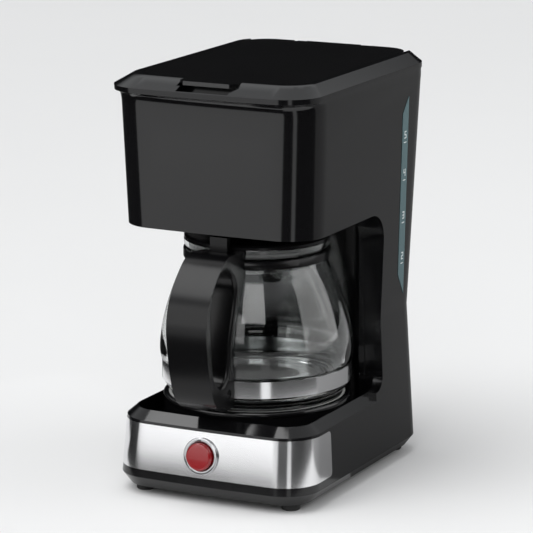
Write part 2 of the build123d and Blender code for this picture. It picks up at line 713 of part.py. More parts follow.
with BuildPart() as drip_shield:
    add(turned([(12.5, HEAD_BOTTOM_Z + 0.4), (NECK_RADIUS - 0.2, HEAD_BOTTOM_Z + 0.4),
                (NECK_RADIUS - 0.2, CHAMBER_LOW), (12.5, CHAMBER_LOW)]))
save(drip_shield.part, "drip_shield")

FLANGE_Z = DECK_Z + DECK_THICK + CLEAR
FLANGE_TOP = FLANGE_Z + 1.8
BASKET_FLOOR = BASKET_LOW_Z + 2
NOSE_LOW = 180.0
with BuildPart() as brew_basket:
    add(turned([(4.5, NOSE_LOW), (7, NOSE_LOW), (8.5, BASKET_LOW_Z), (BASKET_RADIUS - 4, BASKET_LOW_Z),
                (BASKET_RADIUS, BASKET_LOW_Z + 8), (BASKET_RADIUS + 1, FLANGE_Z), (CHAMBER_RADIUS + 3, FLANGE_Z),
                (CHAMBER_RADIUS + 3, FLANGE_TOP), (BASKET_RADIUS - BASKET_WALL + 1, FLANGE_TOP),
                (BASKET_RADIUS - BASKET_WALL, BASKET_LOW_Z + 9), (BASKET_RADIUS - 5, BASKET_FLOOR),
                (4.5, BASKET_FLOOR)]))
    for turn in (0, 90, 180, 270):
        angle = math.radians(turn + 45)
        add(post(40 * math.cos(angle), AXIS_Y + 40 * math.sin(angle), BASKET_FLOOR - 0.1, 198, 1.5))
save(brew_basket.part, "brew_basket")

FILTER_LOW = 199.0
FILTER_TOP = FLANGE_TOP - 1.5
with BuildPart() as filter_mesh:
    add(turned([(0, FILTER_LOW), (44, FILTER_LOW), (50, FILTER_TOP), (49.4, FILTER_TOP), (43.6, FILTER_LOW + 0.6),
                (0, FILTER_LOW + 0.6)]))
save(filter_mesh.part, "filter_mesh")

with BuildPart() as filter_frame:
    add(turned([(50.1, FILTER_TOP - 4), (51.4, FILTER_TOP - 4), (51.6, FILTER_TOP + 1.3), (45, FILTER_TOP + 1.3),
                (45, FILTER_TOP + 0.1), (50.1, FILTER_TOP + 0.1)]))
    add(block((-45.5, AXIS_Y - 5, FILTER_TOP + 0.1), (45.5, AXIS_Y + 5, FILTER_TOP + 1.3)))
save(filter_frame.part, "filter_frame")

VALVE_HEAD_Z = 189.0
with BuildPart() as drip_valve:
    add(turned([(0, VALVE_LOW_Z), (1.6, VALVE_LOW_Z), (VALVE_RADIUS, VALVE_LOW_Z + 1.4),
                (VALVE_RADIUS, VALVE_HEAD_Z), (6.5, VALVE_HEAD_Z), (6.5, VALVE_HEAD_Z + 1.5), (0, VALVE_HEAD_Z + 1.5)]))
save(drip_valve.part, "drip_valve")

with BuildPart() as valve_spring:
    foot = Plane(origin=(0, AXIS_Y, VALVE_HEAD_Z + 1.9))
    add(spring(foot, 5.6, 3.8, 0.4, 3.5))
save(valve_spring.part, "valve_spring")

with BuildPart() as valve_cage:
    add(post(0, AXIS_Y, 196.8, 198.0, 11))
    for turn in (90, 210, 330):
        angle = math.radians(turn)
        add(post(9.7 * math.cos(angle), AXIS_Y + 9.7 * math.sin(angle), BASKET_FLOOR, 196.9, 1.2))
save(valve_cage.part, "valve_cage")

# ---------------------------------------------------------------- lid

LINER_LOW = 261.5
PANEL_BOTTOM = TOP_Z - LID_THICK
with BuildPart() as tank_lid:
    with BuildSketch(Plane.XY.offset(PANEL_BOTTOM)):
        add(lid_outline(0, 0))
    extrude(amount=LID_THICK)
    add(block((-TAB_HALF, -TAB_FRONT, TOP_Z - TAB_THICK), (TAB_HALF, -LID_FRONT + 5, TOP_Z)))
    chamfer(tank_lid.edges().filter_by(Axis.Z).group_by(Axis.Y)[0], length=4.0)
    add(block((-HINGE_HALF, 80, PANEL_BOTTOM), (HINGE_HALF, HINGE_Y, TOP_Z - 0.1)))
    for side in (-1, 1):
        ends = sorted((side * HINGE_HALF, side * (HINGE_HALF + 9)))
        add(block((ends[0], HINGE_Y - 3.6, PANEL_BOTTOM - 1), (ends[1], 110, TOP_Z + 1)), mode=Mode.SUBTRACT)
    with Locations((0, HINGE_Y, HINGE_Z)):
        Cylinder(HINGE_RADIUS, 2 * HINGE_HALF, rotation=(0, 90, 0))
        Cylinder(HINGE_PIN_RADIUS + 0.06, 2 * HINGE_HALF + 4, rotation=(0, 90, 0), mode=Mode.SUBTRACT)
save(tank_lid.part, "tank_lid")

with BuildPart() as hinge_pin:
    with Locations((0, HINGE_Y, HINGE_Z)):
        Cylinder(HINGE_PIN_RADIUS, 2 * HINGE_HALF + 14, rotation=(0, 90, 0))
save(hinge_pin.part, "hinge_pin")

with BuildPart() as lid_liner:
    with BuildSketch(Plane.XY.offset(LINER_LOW)):
        add(outline(0, LID_HALF - 6, LID_FRONT - 6, LID_BACK - 14, LID_ROUND - 6, LID_ROUND - 6))
    extrude(amount=PANEL_BOTTOM - LINER_LOW)
    with BuildSketch(Plane.XY.offset(LINER_LOW)):
        add(outline(0, LID_HALF - 8, LID_FRONT - 8, LID_BACK - 16, LID_ROUND - 8, LID_ROUND - 8))
    extrude(amount=PANEL_BOTTOM - LINER_LOW - 1.6, mode=Mode.SUBTRACT)
save(lid_liner.part, "lid_liner")

with BuildPart() as shower_head:
    add(turned([(0, 250.6), (24, 250.6), (26, 252.5), (26, 256), (10, 258), (10, PANEL_BOTTOM - 1.6), (0, PANEL_BOTTOM - 1.6)]))
    with BuildSketch(Plane.XY.offset(255)):
        with BuildLine():
            Polyline((-4, AXIS_Y + 4), (4, AXIS_Y + 10), (RISER[0] + 12, RISER[1] + 1), (RISER[0] + 4, RISER[1] - 8), close=True)
        make_face()
    extrude(amount=5)
    add(post(RISER[0] + 7, RISER[1] - 5.5, 251, 260, 8))
    for ring_radius, count in ((7, 6), (14, 10), (20, 14)):
        with Locations((0, AXIS_Y, 250.6)):
            with PolarLocations(ring_radius, count):
                Cylinder(1.0, 5, mode=Mode.SUBTRACT)
save(shower_head.part, "shower_head")

# ---------------------------------------------------------------- jug

JUG_BODY = ((62.3, 83.0), (62.3, 96.0), (60.6, 106.0), (57.4, 118.0), (52.6, 131.6), (47.6, 142.0), (44.8, 148.0))
NECK_MID = (45.1, 152.0)
LIP_MID = (46.6, 156.5)
LIP_TOP = (47.0, 160.0)
BAND_LOW_Z = 68.3
BAND_HIGH_Z = 79.0
BAND_SEAT = 60.2


def jug_solid(grow: float) -> Part:
    """Solid with the glass's outer shape moved outwards by grow."""
    with BuildPart() as body:
        with BuildSketch(Plane.XZ.offset(-AXIS_Y)):
            with BuildLine():
                shoulder = (BAND_SEAT + grow + 1.6, 81.2)
                Polyline(
                    (0, JUG_BASE_Z - grow),
                    (53 + grow, JUG_BASE_Z - grow),
                    (57.5 + grow, 62.5 - grow),
                    (BAND_SEAT + grow, 66.5),
                    (BAND_SEAT + grow, 80.2),
                    shoulder,
                )
                body_line = Spline(
                    shoulder,
                    *[(radius + grow, height) for radius, height in JUG_BODY],
                    (NECK_MID[0] + grow, NECK_MID[1]),
                    (LIP_MID[0] + grow, LIP_MID[1]),
                    (LIP_TOP[0] + grow, LIP_TOP[1]),
                )
                Polyline((LIP_TOP[0] + grow, LIP_TOP[1]), (0, LIP_TOP[1]), (0, JUG_BASE_Z - grow))
            make_face()
        revolve(axis=Axis((0, AXIS_Y, 0), (0, 0, 1)))
    return body.part


with BuildPart() as jug_glass:
    add(jug_solid(0))
    with BuildSketch(Plane.XZ.offset(-AXIS_Y)):
        with BuildLine():
            Polyline((0, 63.5), (48, 63.5), (55.5, 65.0), (58.0, 69.0), (58.2, 80.0))
            Spline(
                (58.2, 80.0),
                *[(radius - JUG_WALL, height) for radius, height in JUG_BODY[1:]],
                (NECK_MID[0] - JUG_WALL, NECK_MID[1]),
                (LIP_MID[0] - JUG_WALL, LIP_MID[1]),
                (LIP_TOP[0] - JUG_WALL, LIP_TOP[1]),
            )
            Polyline((LIP_TOP[0] - JUG_WALL, LIP_TOP[1]), (LIP_TOP[0] - JUG_WALL, 165), (0, 165), (0, 63.5))
        make_face()
    revolve(axis=Axis((0, AXIS_Y, 0), (0, 0, 1)), mode=Mode.SUBTRACT)
    add(post(0, AXIS_Y, JUG_BASE_Z - 1, 61.2, 49), mode=Mode.SUBTRACT)
save(jug_glass.part, "jug_glass")

with BuildPart() as jug_band:
    add(turned([(BAND_SEAT + 0.1, BAND_LOW_Z), (BAND_SEAT + 1.3, BAND_LOW_Z), (BAND_SEAT + 1.3, BAND_HIGH_Z),
                (BAND_SEAT + 0.1, BAND_HIGH_Z)]))
save(jug_band.part, "jug_band")

COLLAR_LOW = 148.0
COLLAR_HIGH = 153.8
with BuildPart() as jug_collar:
    add(post(0, AXIS_Y, COLLAR_LOW, COLLAR_HIGH, 47.4))
    fillet(jug_collar.edges(), radius=0.5)
    add(jug_solid(0.1), mode=Mode.SUBTRACT)
save(jug_collar.part, "jug_collar")

HANDLE_TOP = 160.8
HINGE_TONGUE = 6.0
LID_PIN = (-70.0, 158.0)
SCREW_AT = (-88.0, 72.5)
with BuildPart() as jug_handle:
    with BuildSketch(Plane.YZ):
        with BuildLine():
            Polyline((-60, 148.5), (-60, 158.6), (-80, HANDLE_TOP))
            Spline(
                (-80, HANDLE_TOP), (-91.0, 159.4), (-102.4, 151.0), (-112.5, 139.0), (-118.2, 124.0), (-117.4, 105.0),
                (-112.0, 81.0), (-107.0, 70.5), (-100.0, 65.0), (-90.0, 62.6), (-81.0, 63.5),
            )
            Polyline((-81.0, 63.5), (-60, 66.0), (-60, 148.5))
        make_face()
        with BuildLine():
            Spline(
                (-111.0, 118.0), (-109.6, 134.0), (-103.5, 146.0), (-93.5, 152.6), (-84.0, 149.0), (-77.6, 139.0),
                (-79.5, 126.0), (-83.6, 113.0), (-86.4, 100.0), (-88.0, 90.0), (-92.0, 81.6), (-98.5, 79.4),
                (-105.0, 84.0), (-109.3, 97.0), periodic=True,
            )
        make_face(mode=Mode.SUBTRACT)
    extrude(amount=HANDLE_HALF, both=True)
    curved = jug_handle.edges().filter_by(lambda e: abs(abs(e.center().X) - HANDLE_HALF) < 0.01)
    curved = curved.filter_by(lambda e: e.geom_type != GeomType.LINE)
    fillet(curved.filter_by(lambda e: e.bounding_box().size.Z < 90), radius=2.5)
    add(jug_solid(0.35), mode=Mode.SUBTRACT)
    add(turned([(0, BAND_LOW_Z - 1), (BAND_SEAT + 1.7, BAND_LOW_Z - 1), (BAND_SEAT + 1.7, BAND_HIGH_Z + 1),
                (0, BAND_HIGH_Z + 1)]), mode=Mode.SUBTRACT)
    add(post(0, AXIS_Y, COLLAR_LOW - 4, LIP_TOP[1] + 20, 47.5), mode=Mode.SUBTRACT)
    add(block((-HINGE_TONGUE - 0.4, LID_PIN[0] - 5, LID_PIN[1] - 3), (HINGE_TONGUE + 0.4, -60, 170)),
        mode=Mode.SUBTRACT)
    with Locations((0, *LID_PIN)):
        Cylinder(1.2, 30, rotation=(0, 90, 0), mode=Mode.SUBTRACT)
    with Locations((7, *SCREW_AT)):
        Cylinder(1.6, 20, rotation=(0, 90, 0), mode=Mode.SUBTRACT)
    with Locations((HANDLE_HALF, *SCREW_AT)):
        Cylinder(3.4, 8, rotation=(0, 90, 0), mode=Mode.SUBTRACT)
save(jug_handle.part, "jug_handle")

with BuildPart() as handle_screw:
    with Locations((3.5, *SCREW_AT)):
        Cylinder(1.6, 13, rotation=(0, 90, 0))
    with Locations((11.0, *SCREW_AT)):
        Cylinder(3.2, 2, rotation=(0, 90, 0))
    with Locations((12.0, *SCREW_AT)):
        Box(1.4, 4.6, 0.9, mode=Mode.SUBTRACT)
        Box(1.4, 0.9, 4.6, mode=Mode.SUBTRACT)
save(handle_screw.part, "handle_screw")

LID_PEAK = 170.95
with BuildPart() as jug_lid:
    add(turned([(0, 158.0), (34, 158.0), (40.5, 150.0), (42.0, 150.0), (42.0, 154.0), (43.0, 156.0), (43.6, 160.4),
                (46.8, 160.4), (46.9, 162.2), (45.5, 163.6), (38, 164.6), (16, 166.6), (10, 169.6), (6, LID_PEAK),
                (0, LID_PEAK)]))
    add(block((-HINGE_TONGUE, LID_PIN[0] - 4.5, LID_PIN[1] - 2.5), (HINGE_TONGUE, -60, 163)))
    add(block((-HINGE_TONGUE, LID_PIN[0] - 4.5, 162), (HINGE_TONGUE, LID_PIN[0], 169.5)))
    add(post(0, AXIS_Y, 140, 160.3, 47.3) - post(0, AXIS_Y, 130, 170, 43.6), mode=Mode.SUBTRACT)
    with Locations((0, *LID_PIN)):
        Cylinder(1.25, 30, rotation=(0, 90, 0), mode=Mode.SUBTRACT)
save(jug_lid.part, "jug_lid")

with BuildPart() as jug_lid_pin:
    with Locations((0, *LID_PIN)):
        Cylinder(1.2, 22, rotation=(0, 90, 0))
save(jug_lid_pin.part, "jug_lid_pin")

# ---------------------------------------------------------------- water gauge

with BuildPart() as gauge_window:
    add(gauge_slab(-WALL + 0.2, 0.3))
save(gauge_window.part, "gauge_window")

DIGIT_HALF_WIDTH = 1.1
DIGIT_HALF_HEIGHT = 2.1
STROKE = 0.6
SEGMENTS = {
    "top": ((-1, 1), (1, 1)),
    "middle": ((-1, 0), (1, 0)),
    "bottom": ((-1, -1), (1, -1)),
    "upper_left": ((-1, 0), (-1, 1)),
    "upper_right": ((1, 0), (1, 1)),
    "lower_left": ((-1, -1), (-1, 0)),
    "lower_right": ((1, -1), (1, 0)),
}
DIGITS = {
    2: ("top", "upper_right", "middle", "lower_left", "bottom"),
    3: ("top", "upper_right", "middle", "lower_right", "bottom"),
    4: ("upper_left", "upper_right", "middle", "lower_right"),
    5: ("top", "upper_left", "middle", "lower_right", "bottom"),
}

with BuildPart() as gauge_marks:
    for number, height in GAUGE_LEVELS:
        level = height - 178
        middle = -0.5 - 0.037 * level
        with BuildSketch(GAUGE_PLANE.offset(0.3)):
            for name in DIGITS[number]:
                (x0, y0), (x1, y1) = SEGMENTS[name]
                centre_x = middle + (x0 + x1) / 2 * DIGIT_HALF_WIDTH
                centre_y = level + 5 + (y0 + y1) / 2 * DIGIT_HALF_HEIGHT
                width = abs(x1 - x0) * DIGIT_HALF_WIDTH + STROKE
                tall = abs(y1 - y0) * DIGIT_HALF_HEIGHT + STROKE
                with Locations((centre_x, centre_y)):
                    Rectangle(width, tall)
            with Locations((middle, level)):
                Rectangle(3.6, STROKE)
        extrude(amount=0.15)
save(gauge_marks.part, "gauge_marks")
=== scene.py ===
"""Drip coffee maker: glossy housing, steel fascia, brew head and glass jug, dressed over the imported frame."""

import logging
import math
from dataclasses import dataclass, field
from enum import Enum
from typing import Any, ClassVar, Iterable, Sequence

import bpy
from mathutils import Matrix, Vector

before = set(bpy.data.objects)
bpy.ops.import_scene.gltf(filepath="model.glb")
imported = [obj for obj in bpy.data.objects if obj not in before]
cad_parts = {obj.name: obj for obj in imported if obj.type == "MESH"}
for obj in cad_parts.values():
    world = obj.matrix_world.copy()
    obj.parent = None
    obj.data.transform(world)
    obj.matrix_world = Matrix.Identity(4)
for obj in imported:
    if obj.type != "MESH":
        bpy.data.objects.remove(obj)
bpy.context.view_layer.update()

LOG = logging.getLogger("coffee_maker")


Colour = tuple[float, float, float]


def even(cells: float) -> Colour:
    """The same number along all three axes."""
    return (cells, cells, cells)


class Sock:
    """A node socket that can stand in an arithmetic expression."""

    def __init__(self, graph: "Graph", socket: Any) -> None:
        """Keeps the graph that owns the socket, and the socket."""
        self.graph = graph
        self.socket = socket

    def _math(self, operation: str, *values: Any) -> "Sock":
        """Adds one Math node.

        Args:
            operation: the Math node's operation.
            values: numbers or sockets, in order.

        Returns:
            The node's result.
        """
        inputs = {index: value for index, value in enumerate(values)}
        return self.graph.add("ShaderNodeMath", {"operation": operation}, inputs)

    def __add__(self, other: Any) -> "Sock":
        """Sum."""
        return self._math("ADD", self, other)

    __radd__ = __add__

    def __mul__(self, other: Any) -> "Sock":
        """Product."""
        return self._math("MULTIPLY", self, other)

    __rmul__ = __mul__

    def __sub__(self, other: Any) -> "Sock":
        """Difference."""
        return self._math("SUBTRACT", self, other)

    def __rsub__(self, other: Any) -> "Sock":
        """Difference the other way round."""
        return self._math("SUBTRACT", other, self)

    def above(self, limit: float) -> "Sock":
        """One where the value passes the limit, else zero."""
        return self._math("GREATER_THAN", self, limit)

    def larger(self, other: "Sock") -> "Sock":
        """The larger of two values."""
        return self._math("MAXIMUM", self, other)

    def sine(self) -> "Sock":
        """Sine of the value, in radians."""
        return self._math("SINE", self)


class Graph:
    """A node tree, filled node by node."""

    MIX_FACTOR: ClassVar[int] = 0
    MIX_FIRST: ClassVar[int] = 6
    MIX_SECOND: ClassVar[int] = 7
    MIX_COLOUR: ClassVar[int] = 2

    def __init__(self, tree: bpy.types.NodeTree) -> None:
        """Takes the tree and clears it."""
        self.tree = tree
        self.tree.nodes.clear()

    def node(
        self, kind: str, settings: dict[str, Any] | None = None, inputs: dict[Any, Any] | None = None
    ) -> bpy.types.Node:
        """Makes any node.

        Args:
            kind: the node's type.
            settings: properties set before the sockets; "stops" gives a ramp's two stops.
            inputs: values or sockets, by socket name or index.

        Returns:
            The node.
        """
        node = self.tree.nodes.new(kind)
        for key, value in (settings or {}).items():
            if key == "stops":
                for element, (position, colour) in zip(node.color_ramp.elements, value):
                    element.position = position
                    element.color = (*colour, 1.0)
            else:
                setattr(node, key, value)
        for key, value in (inputs or {}).items():
            self.feed(node.inputs[key], value)
        return node

    def add(
        self,
        kind: str,
        settings: dict[str, Any] | None = None,
        inputs: dict[Any, Any] | None = None,
        output: Any = 0,
    ) -> Sock:
        """Makes any node and takes one of its outputs.

        Args:
            kind: the node's type.
            settings: properties set before the sockets.
            inputs: values or sockets, by socket name or index.
            output: the name or index of the output to return.

        Returns:
            The chosen output.
        """
        return Sock(self, self.node(kind, settings, inputs).outputs[output])

    def feed(self, socket: Any, value: Any) -> None:
        """Links a socket, or sets its value.

        Args:
            socket: the input.
            value: a Sock to link, or a plain value.
        """
        if isinstance(value, Sock):
            self.tree.links.new(value.socket, socket)
        else:
            socket.default_value = value

    def mix(self, factor: Any, first: Any, second: Any) -> Sock:
        """Blend of two colours.

        Args:
            factor: 0 gives the first colour, 1 the second.
            first: linear red, green and blue, or a socket.
            second: linear red, green and blue, or a socket.

        Returns:
            The blended colour.
        """
        ends = [value if isinstance(value, Sock) else (*value, 1.0) for value in (first, second)]
        settings = {"data_type": "RGBA", "clamp_factor": True}
        inputs = {self.MIX_FACTOR: factor, self.MIX_FIRST: ends[0], self.MIX_SECOND: ends[1]}
        return self.add("ShaderNodeMix", settings, inputs, self.MIX_COLOUR)


class Shader(Graph):
    """A material's node tree, with one Principled surface."""

    def __init__(self, name: str) -> None:
        """Makes the material and its surface.

        Args:
            name: the material's name.
        """
        self.material = bpy.data.materials.new(name)
        self.material.use_nodes = True
        super().__init__(self.material.node_tree)
        self.surface = self.node("ShaderNodeBsdfPrincipled")
        self.node("ShaderNodeOutputMaterial", {}, {"Surface": Sock(self, self.surface.outputs["BSDF"])})

    def set(self, **values: Any) -> None:
        """Sets the surface's sockets, with underscores for spaces in their names."""
        for key, value in values.items():
            self.feed(self.surface.inputs[key.replace("_", " ")], value)

    def place(self, scale: Sequence[float]) -> Sock:
        """Object coordinates, stretched along each axis by a number per metre."""
        start = self.add("ShaderNodeTexCoord", output="Object")
        return self.add("ShaderNodeVectorMath", {"operation": "MULTIPLY"}, {0: start, 1: tuple(scale)})

    def noise(self, scale: Sequence[float], detail: float, rough: float) -> Sock:
        """Noise in object space.

        Args:
            scale: cells per metre along each axis.
            detail: octaves.
            rough: strength of the finer octaves.

        Returns:
            A value near 0.5, from 0 to 1.
        """
        inputs = {"Vector": self.place(scale), "Scale": 1.0, "Detail": detail, "Roughness": rough}
        return self.add("ShaderNodeTexNoise", {}, inputs, "Fac")

    def bump(self, height: Sock, depth: float) -> Sock:
        """Normal bent by a height.

        Args:
            height: 0 to 1.
            depth: metres from low to high.

        Returns:
            The bent normal.
        """
        inputs = {"Height": height, "Distance": depth, "Strength": 1.0}
        return self.add("ShaderNodeBump", {}, inputs, "Normal")


def shaded(colour: Colour, share: float) -> Colour:
    """A colour made darker or lighter by a share."""
    return tuple(channel * share for channel in colour)


@dataclass(frozen=True)
class Moulded:
    """Moulded plastic or rubber, from mirror gloss to a fine grain."""

    DARKER: ClassVar[float] = 0.86
    LIGHTER: ClassVar[float] = 1.12
    WIPE_CELLS: ClassVar[Colour] = (90, 60, 240)
    COAT_ROUGH: ClassVar[float] = 0.03

    colour: Colour
    rough: float
    smudge: float = 0.04
    grain: float = 0.0
    grain_size: float = 1500.0
    ripple: float = 0.0
    coat: float = 0.0
    specular: float = 0.5

    def build(self, name: str) -> bpy.types.Material:
        """Handled plastic: soft smudges in the gloss, a faint moulding ripple and a moulded grain.

        Args:
            name: the material's name.

        Returns:
            The material.
        """
        shader = Shader(name)
        smudges = shader.noise(even(22), detail=4.0, rough=0.62)
        wipes = shader.noise(self.WIPE_CELLS, detail=2.0, rough=0.5)
        tone = shader.noise(even(9), detail=2.0, rough=0.5)
        height = shader.noise(even(14), detail=1.0, rough=0.3) * self.ripple
        if self.grain:
            height = height + shader.noise(even(self.grain_size), detail=2.0, rough=0.6) * self.grain
        wear = (smudges - 0.5) * self.smudge + (wipes - 0.5) * self.smudge * 0.5
        shader.set(
            Base_Color=shader.mix(tone, shaded(self.colour, self.DARKER), shaded(self.colour, self.LIGHTER)),
            Roughness=self.rough + wear,
            Normal=shader.bump(height, 1.0),
            Specular_IOR_Level=self.specular,
            Coat_Weight=self.coat,
            Coat_Roughness=self.COAT_ROUGH,
        )
        return shader.material


@dataclass(frozen=True)
class Metal:
    """Bare metal, drawn, polished or cast."""

    DARKER: ClassVar[float] = 0.9

    colour: Colour
    rough: float
    streak: Colour
    streak_depth: float
    smudge: float

    def build(self, name: str) -> bpy.types.Material:
        """Metal with drawn lines or grains, and finger marks in its gloss.

        Args:
            name: the material's name.

        Returns:
            The material.
        """
        shader = Shader(name)
        lines = shader.noise(self.streak, detail=4.0, rough=0.7)
        marks = shader.noise(even(26), detail=3.0, rough=0.6)
        shader.set(
            Base_Color=shader.mix(lines, shaded(self.colour, self.DARKER), self.colour),
            Metallic=1.0,
            Roughness=self.rough + (lines - 0.5) * self.smudge + (marks - 0.5) * self.smudge,
            Normal=shader.bump(lines * self.streak_depth, 1.0),
        )
        return shader.material


@dataclass(frozen=True)
class Clear:
    """Clear or tinted glass and see-through plastic."""

    MARK_CELLS: ClassVar[Colour] = (30, 30, 55)
    WAVE_CELLS: ClassVar[Colour] = (16, 16, 9)
    MARK_ROUGH: ClassVar[float] = 0.02

    colour: Colour
    rough: float
    index: float
    passes: float
    ripple: float

    def build(self, name: str) -> bpy.types.Material:
        """Glass with slight waves and faint wipe marks.

        Args:
            name: the material's name.

        Returns:
            The material.
        """
        shader = Shader(name)
        marks = shader.noise(self.MARK_CELLS, detail=3.0, rough=0.6)
        waves = shader.noise(self.WAVE_CELLS, detail=1.0, rough=0.4)
        shader.set(
            Base_Color=(*self.colour, 1.0),
            Roughness=self.rough + (marks - 0.4) * self.MARK_ROUGH,
            Normal=shader.bump(waves * self.ripple, 1.0),
            IOR=self.index,
            Transmission_Weight=self.passes,
        )
        return shader.material


@dataclass(frozen=True)
class Weave:
    """Fine woven mesh with open holes."""

    # Share of the colour kept where the threads dip: painted shade between the threads.
    PAINTED_GAP_SHADE: ClassVar[float] = 0.55
    GAP_ALPHA: ClassVar[float] = 0.35
    THREAD_START: ClassVar[float] = 0.55
    THREAD_DEPTH: ClassVar[float] = 0.3

    colour: Colour
    pitch: float = 0.0009

    def build(self, name: str) -> bpy.types.Material:
        """Threads both ways, with the gaps cut out by alpha and the colour darkened between the threads as
        painted shade.

        Args:
            name: the material's name.

        Returns:
            The material.
        """
        shader = Shader(name)
        threads = []
        for axis in range(3):
            place = shader.place(even(1 / self.pitch))
            turns = shader.add("ShaderNodeSeparateXYZ", {}, {0: place}, axis)
            threads.append((turns * (2 * math.pi)).sine() * 0.5 + 0.5)
        height = threads[0].larger(threads[1]).larger(threads[2])
        shader.set(
            # Painted shade: the colour darkens where the threads dip between crossings.
            Base_Color=shader.mix(height, shaded(self.colour, self.PAINTED_GAP_SHADE), self.colour),
            Roughness=0.55 - height * 0.1,
            Alpha=self.GAP_ALPHA + height.above(self.THREAD_START) * (1 - self.GAP_ALPHA),
            Normal=shader.bump(height, self.pitch * self.THREAD_DEPTH),
        )
        return shader.material


class Finish(Enum):
    """Every finish on the machine, by the name of its material."""

    GLOSS = "gloss_black"
    LID = "lid_black"
    SATIN = "satin_black"
    RUBBER = "rubber"
    STEEL = "steel"
    CHROME = "chrome"
    RING = "ring_chrome"
    RED = "red"
    CLEAR = "clear"
    WINDOW = "window"
    PRINT = "print"
    TANK = "tank"
    PLATE = "plate"
    ALU = "alu"
    SILICONE = "silicone"
    WIRE = "wire"
    MESH = "mesh"
    HOSE = "hose"
    CERAMIC = "ceramic"
    HANDLE = "handle_black"


RECIPES: dict[Finish, Any] = {
    Finish.GLOSS: Moulded((0.0036, 0.0036, 0.0040), 0.12, smudge=0.03, ripple=1.2e-5),
    Finish.LID: Moulded((0.0022, 0.0022, 0.0024), 0.16, 0.06, 4e-6, 2200.0, 1e-5),
    Finish.SATIN: Moulded((0.0075, 0.0075, 0.008), 0.26, 0.08, 6e-6, 1500.0),
    Finish.HANDLE: Moulded((0.0030, 0.0030, 0.0033), 0.24, 0.05, 2e-6, 1800.0, 1e-5, specular=0.27),
    Finish.RUBBER: Moulded((0.012, 0.012, 0.012), 0.7, 0.1, 2e-5, 900.0),
    Finish.STEEL: Metal((0.86, 0.86, 0.87), 0.14, (5, 700, 1400), 4e-7, 0.03),
    Finish.CHROME: Metal((0.86, 0.86, 0.88), 0.07, even(25), 0.0, 0.03),
    Finish.RING: Metal((0.5, 0.5, 0.51), 0.12, even(25), 0.0, 0.03),
    Finish.RED: Moulded((0.24, 0.004, 0.007), 0.2, 0.05, ripple=6e-6, coat=0.35),
    Finish.CLEAR: Clear((0.97, 0.985, 0.98), 0.008, 1.47, 1.0, 5e-6),
    Finish.WINDOW: Clear((0.11, 0.185, 0.20), 0.16, 1.49, 0.25, 4e-6),
    Finish.PRINT: Moulded((0.66, 0.72, 0.72), 0.4, 0.05),
    Finish.TANK: Clear((0.62, 0.65, 0.67), 0.3, 1.49, 0.5, 8e-6),
    Finish.PLATE: Moulded((0.007, 0.007, 0.007), 0.3, 0.1, 1.2e-5, 1300.0),
    Finish.ALU: Metal((0.6, 0.6, 0.61), 0.42, even(420), 1.2e-5, 0.1),
    Finish.SILICONE: Moulded((0.6, 0.6, 0.58), 0.5, 0.08, 6e-6, 1100.0),
    Finish.WIRE: Moulded((0.35, 0.02, 0.018), 0.45, 0.08, 3e-6, 1500.0),
    Finish.MESH: Weave((0.62, 0.52, 0.32)),
    Finish.HOSE: Moulded((0.55, 0.55, 0.52), 0.4, 0.08, 4e-6, 1200.0),
    Finish.CERAMIC: Moulded((0.62, 0.6, 0.55), 0.55, 0.08, 1e-5, 1200.0),
}


@dataclass
class Workshop:
    """Hands out finishes and dresses the frame's own solids."""

    sharp_angle: float = 32.0
    weld_gap: float = 1e-6
    made: dict[Finish, bpy.types.Material] = field(default_factory=dict)

    def __post_init__(self) -> None:
        """Makes the smoothing that all pieces share."""
        self.smoothing = self.smooth_group()

    def finish(self, finish: Finish) -> bpy.types.Material:
        """The material of a finish, made on first use.

        Args:
            finish: the finish.

        Returns:
            Its material.
        """
        if finish not in self.made:
            self.made[finish] = RECIPES[finish].build(finish.value)
        return self.made[finish]

    def smooth_group(self) -> bpy.types.NodeTree:
        """Geometry nodes that keep edges over the sharp angle sharp and smooth the rest.

        Returns:
            The node group.
        """
        group = bpy.data.node_groups.new("smooth_by_angle", "GeometryNodeTree")
        for direction in ("INPUT", "OUTPUT"):
            group.interface.new_socket("Geometry", in_out=direction, socket_type="NodeSocketGeometry")
        graph = Graph(group)
        start = graph.add("NodeGroupInput")
        angle = graph.add("GeometryNodeInputMeshEdgeAngle")
        limit = math.radians(self.sharp_angle)
        soft = graph.add("FunctionNodeCompare", {"operation": "LESS_EQUAL"}, {0: angle, 1: limit})
        faces = graph.add("GeometryNodeSetShadeSmooth", {"domain": "FACE"}, {"Geometry": start})
        inputs = {"Geometry": faces, "Shade Smooth": soft}
        edges = graph.add("GeometryNodeSetShadeSmooth", {"domain": "EDGE"}, inputs)
        graph.node("NodeGroupOutput", {}, {0: edges})
        return group

    def dress(self, node: str, finish: Finish, edge: float = 0.0) -> None:
        """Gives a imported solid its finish, smooth faces and, if asked, rounded edges.

        Args:
            node: the solid's name.
            finish: its finish.
            edge: width of its rounded edges, or 0 for none.
        """
        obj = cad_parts[node]
        obj.data.materials.clear()
        obj.data.materials.append(self.finish(finish))
        obj.data.shade_smooth()
        obj.modifiers.new("weld", "WELD").merge_threshold = self.weld_gap
        if edge:
            bevel = obj.modifiers.new("soft_edges", "BEVEL")
            bevel.width = edge
            bevel.segments = 3
            bevel.limit_method = "ANGLE"
            bevel.angle_limit = math.radians(self.sharp_angle)
            bevel.harden_normals = True
            bevel.use_clamp_overlap = True
        obj.modifiers.new("smooth_by_angle", "NODES").node_group = self.smoothing
        LOG.info("dressed %s with %s", node, finish.value)


@dataclass
class Housing:
    """Upper and lower housing, base cover, feet and screws."""

    def build(self, shop: Workshop) -> None:
        """Dresses the shell and what closes it."""
        shop.dress("upper_housing", Finish.GLOSS)
        shop.dress("lower_housing", Finish.GLOSS)
        shop.dress("bottom_cover", Finish.SATIN)
        shop.dress("hinge_brackets", Finish.SATIN)
        shop.dress("hinge_pin", Finish.CHROME)
        shop.dress("housing_screws", Finish.CHROME)
        shop.dress("feet", Finish.RUBBER)
        shop.dress("cord_bush", Finish.RUBBER)


